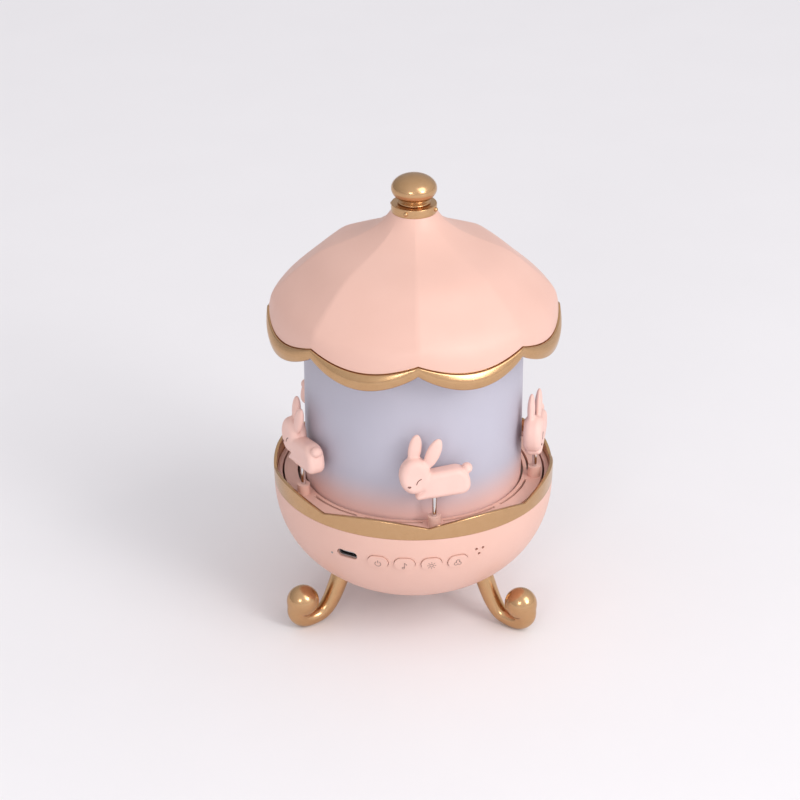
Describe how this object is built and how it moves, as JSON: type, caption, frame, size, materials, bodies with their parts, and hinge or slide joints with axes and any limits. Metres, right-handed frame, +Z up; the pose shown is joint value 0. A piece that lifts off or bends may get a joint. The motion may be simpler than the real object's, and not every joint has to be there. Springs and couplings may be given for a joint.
{
  "type": "carousel music box",
  "caption": "Table-top carousel music box and lamp: rabbits on a turntable circle a frosted shade under a scalloped canopy, on a round bowl with scroll feet and push buttons.",
  "frame": {"origin": "on the ground, on the vertical axis of the turntable", "axes": "+Z up along the turntable axis, -Y towards the front with the buttons, +X to the right seen from the front"},
  "size_m": [0.123, 0.1234, 0.1977],
  "materials": {
    "blush_shell": "satin moulded plastic, warm blush pink",
    "blush_rabbit": "satin moulded plastic, pale blush pink",
    "antique_gold": "satin antique gold paint",
    "frosted_lamp": "frosted translucent white",
    "polished_steel": "polished",
    "plain_steel": "zinc plated",
    "green_board": "solder mask",
    "white_board": "white solder mask",
    "dark_parts": "moulded",
    "lamp_yellow": "phosphor",
    "battery_wrap": "shrink wrap",
    "clear_lens": "clear",
    "white_acetal": "natural acetal",
    "cream_internal": "moulded"
  },
  "bodies": {
    "root": {"base_cover": "blush_shell", "base_cover_screws": "plain_steel", "battery_pack": "battery_wrap", "board_components": "dark_parts", "bowl_rim": "antique_gold", "bowl_shell": "blush_shell", "button_board": "green_board", "button_switches": "dark_parts", "canopy_ceiling": "blush_shell", "canopy_shell": "blush_shell", "canopy_trim": "antique_gold", "centre_post": "cream_internal", "charging_socket": "plain_steel", "chassis_plate": "cream_internal", "chassis_screws": "plain_steel", "collar": "antique_gold", "collar_studs": "antique_gold", "deck_surround": "blush_shell", "finial": "antique_gold", "foot_left": "antique_gold", "foot_rear": "antique_gold", "foot_right": "antique_gold", "foot_screws": "plain_steel", "frosted_shade": "frosted_lamp", "gear_motor": "plain_steel", "gearbox_case": "dark_parts", "gearbox_screws": "plain_steel", "lamp_board": "white_board", "lamps": "lamp_yellow", "main_board": "green_board", "microphone": "plain_steel", "port_board": "green_board", "post_plug": "plain_steel", "shade_base": "blush_shell", "speaker_cone": "dark_parts", "speaker_frame": "dark_parts", "speaker_magnet": "plain_steel", "status_light_pipe": "clear_lens", "tie_rod": "plain_steel", "turntable_bush": "white_acetal"},
    "turntable": {"turntable_deck": "blush_shell", "turntable_hub": "cream_internal", "ring_gear": "white_acetal", "ring_gear_screws": "plain_steel", "rabbit_1": "blush_rabbit", "rabbit_2": "blush_rabbit", "rabbit_3": "blush_rabbit", "rabbit_4": "blush_rabbit", "rabbit_5": "blush_rabbit", "rabbit_rod_1": "polished_steel", "rabbit_rod_2": "polished_steel", "rabbit_rod_3": "polished_steel", "rabbit_rod_4": "polished_steel", "rabbit_rod_5": "polished_steel"},
    "pinion": {"motor_pinion": "white_acetal", "motor_shaft": "plain_steel"},
    "button_power": {"button_power": "blush_shell"},
    "button_mode": {"button_mode": "blush_shell"},
    "button_light": {"button_light": "blush_shell"},
    "button_turn": {"button_turn": "blush_shell"}
  },
  "joints": [
    {"name": "turntable_spin", "type": "hinge", "parent": "root", "child": "turntable", "pos_m": [0, 0, 0.0573], "axis": [0, 0, -1], "continuous": true},
    {"name": "pinion_spin", "type": "hinge", "parent": "root", "child": "pinion", "pos_m": [0.02892, 0, 0.0521], "axis": [0, 0, -1], "continuous": true},
    {"name": "button_power_press", "type": "slide", "parent": "root", "child": "button_power", "axis": [0.2542, 0.9672, 0], "range_m": [0, 0.0008], "stiffness_N_per_m": 1500, "springref_m": -0.0002},
    {"name": "button_mode_press", "type": "slide", "parent": "root", "child": "button_mode", "axis": [0.0658, 0.9978, 0], "range_m": [0, 0.0008], "stiffness_N_per_m": 1500, "springref_m": -0.0002},
    {"name": "button_light_press", "type": "slide", "parent": "root", "child": "button_light", "axis": [-0.1249, 0.9922, 0], "range_m": [0, 0.0008], "stiffness_N_per_m": 1500, "springref_m": -0.0002},
    {"name": "button_turn_press", "type": "slide", "parent": "root", "child": "button_turn", "axis": [-0.3111, 0.9504, 0], "range_m": [0, 0.0008], "stiffness_N_per_m": 1500, "springref_m": -0.0002}
  ],
  "couplings": [
    {"joint": "pinion_spin", "follows": "turntable_spin", "ratio": -5}
  ]
}
